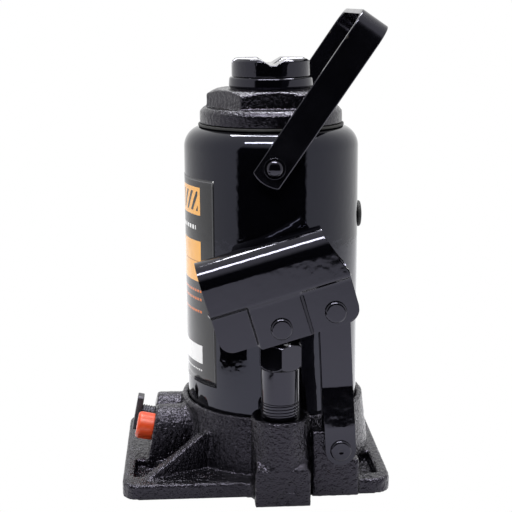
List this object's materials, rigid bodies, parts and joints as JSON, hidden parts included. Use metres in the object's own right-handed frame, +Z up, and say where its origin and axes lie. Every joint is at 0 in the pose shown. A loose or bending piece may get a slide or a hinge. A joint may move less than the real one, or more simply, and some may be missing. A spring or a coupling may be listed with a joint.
{
  "type": "hydraulic bottle jack",
  "caption": "Upright hydraulic bottle jack with a lever pump, a ram with a screw-out saddle, valves on a cast base and a swinging carry handle.",
  "frame": {"origin": "on the ram's axis at the underside of the base", "axes": "+Z up along the ram, -Y towards the pump, -X towards the release valve"},
  "size_m": [0.1528, 0.1394, 0.2697],
  "materials": {
    "cast_black": "rough casting under gloss black paint",
    "tank_black": "smooth gloss black enamel",
    "lever_black": "gloss black enamel on bent sheet",
    "strap_black": "satin black paint on flat strap",
    "steel": "machined",
    "valve_steel": "black oxide, rough",
    "plunger_chrome": "ground and plated",
    "copper": "soft copper washer",
    "rubber": "matte black",
    "orange_plastic": "semi-gloss orange",
    "label": "printed film, charcoal with amber and white blocks"
  },
  "bodies": {
    "base": {"base_casting": "cast_black", "passage_plugs": "cast_black", "reservoir_tube": "tank_black", "tank_gasket": "rubber", "tank_label": "label", "ram_cylinder": "steel", "cylinder_gasket": "copper", "top_nut": "cast_black", "top_seal": "rubber", "ram_wiper": "rubber", "pump_cylinder": "lever_black", "pump_washer": "copper", "suction_ball": "steel", "suction_strainer": "copper", "delivery_ball": "steel", "delivery_spring": "steel", "delivery_stop": "steel", "lug_pin": "lever_black", "lug_pin_clip": "steel", "release_ball": "steel", "safety_ball": "steel", "safety_spring": "steel", "safety_screw": "steel", "safety_cap": "orange_plastic", "handle_rivets": "lever_black", "handle_washers": "lever_black"},
    "ram": {"ram": "lever_black", "piston_cup": "rubber", "piston_backing_ring": "steel", "piston_nut": "steel"},
    "screw_stop": {"screw_stop_ring": "steel"},
    "screw": {"extension_screw": "lever_black"},
    "plunger": {"pump_plunger": "plunger_chrome", "plunger_seal": "rubber", "plunger_backup_ring": "rubber"},
    "link": {"link_plates": "lever_black"},
    "lever": {"handle_socket": "lever_black", "link_pin": "lever_black", "plunger_pin": "lever_black", "socket_pin_clips": "steel"},
    "valve_ring": {"release_seal": "rubber"},
    "valve": {"release_valve": "valve_steel"},
    "strap": {"carry_handle": "strap_black"},
    "filler": {"filler_plug": "rubber"}
  },
  "joints": [
    {"name": "ram_lift", "type": "slide", "parent": "base", "child": "ram", "axis": [0, 0, 1], "range_m": [0, 0.15]},
    {"name": "screw_rise", "type": "slide", "parent": "ram", "child": "screw_stop", "axis": [0, 0, 1], "range_m": [0, 0.06]},
    {"name": "screw_turn", "type": "hinge", "parent": "screw_stop", "child": "screw", "pos_m": [0, 0, 0.2], "axis": [0, 0, 1], "range_deg": [0, 3600]},
    {"name": "plunger_slide", "type": "slide", "parent": "base", "child": "plunger", "axis": [0, 0, 1], "range_m": [0, 0.0205]},
    {"name": "link_rock", "type": "hinge", "parent": "base", "child": "link", "pos_m": [0.0332, -0.065, 0.029], "axis": [0, 1, 0], "range_deg": [-1.1, 0]},
    {"name": "lever_pump", "type": "hinge", "parent": "link", "child": "lever", "pos_m": [0.02947, -0.065, 0.10959], "axis": [0, 1, 0], "range_deg": [0, 40]},
    {"name": "valve_back_out", "type": "slide", "parent": "base", "child": "valve_ring", "axis": [-0.9803, 0, 0.1977], "range_m": [0, 0.00225]},
    {"name": "valve_turn", "type": "hinge", "parent": "valve_ring", "child": "valve", "pos_m": [-0.0726, 0.0075, 0.0246], "axis": [-0.9803, 0, 0.1977], "range_deg": [0, 540]},
    {"name": "handle_swing", "type": "hinge", "parent": "base", "child": "strap", "pos_m": [0, 0, 0.185], "axis": [0.0332, 0.9995, 0], "range_deg": [-130, 75]},
    {"name": "filler_pull", "type": "slide", "parent": "base", "child": "filler", "axis": [1, 0, 0], "range_m": [0, 0.012]}
  ],
  "couplings": [
    {"joint": "screw_turn", "follows": "screw_rise", "rad_per_m": 1047.2},
    {"joint": "plunger_slide", "follows": "lever_pump", "m_per_rad": 0.02935},
    {"joint": "link_rock", "follows": "lever_pump", "ratio": -0.0243},
    {"joint": "valve_turn", "follows": "valve_back_out", "rad_per_m": 4188.8}
  ]
}
